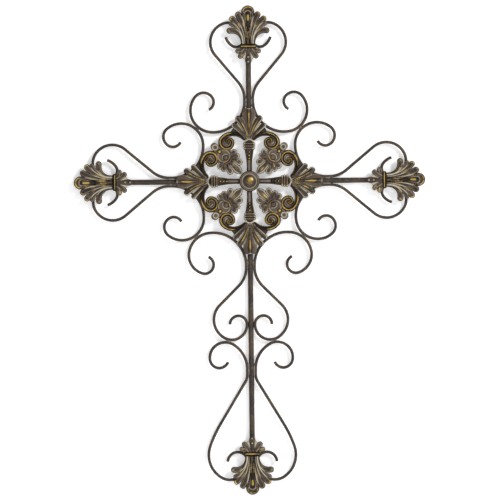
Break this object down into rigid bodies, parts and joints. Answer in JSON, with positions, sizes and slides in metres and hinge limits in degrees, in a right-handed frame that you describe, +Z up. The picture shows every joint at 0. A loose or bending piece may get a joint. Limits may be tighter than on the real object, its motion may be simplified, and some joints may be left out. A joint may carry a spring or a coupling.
{
  "type": "wall cross",
  "caption": "Wall cross of round bars and bent wire scrolls, with a pierced cast rosette in the middle and a cast palmette finial on every tip.",
  "frame": {"origin": "centre of the flat back of the rosette's boss, on the wall plane", "axes": "+Z up along the upright, +X to the right as seen from the front, +Y into the wall; the front faces -Y"},
  "size_m": [0.6556, 0.0213, 0.9131],
  "materials": {
    "iron": "dark brown, lightly rubbed",
    "casting": "dark bronze with pale patina in the hollows and rubbed gold on the ridges"
  },
  "bodies": {
    "root": {"bar_top": "iron", "bar_bottom": "iron", "bar_left": "iron", "bar_right": "iron", "scroll_top_left": "iron", "scroll_top_right": "iron", "scroll_left_upper": "iron", "scroll_left_lower": "iron", "scroll_right_upper": "iron", "scroll_right_lower": "iron", "scroll_knee_left": "iron", "scroll_knee_right": "iron", "scroll_foot_left": "iron", "scroll_foot_right": "iron", "rosette": "casting", "finial_top": "casting", "finial_left": "casting", "finial_right": "casting", "finial_bottom": "casting"}
  },
  "joints": []
}
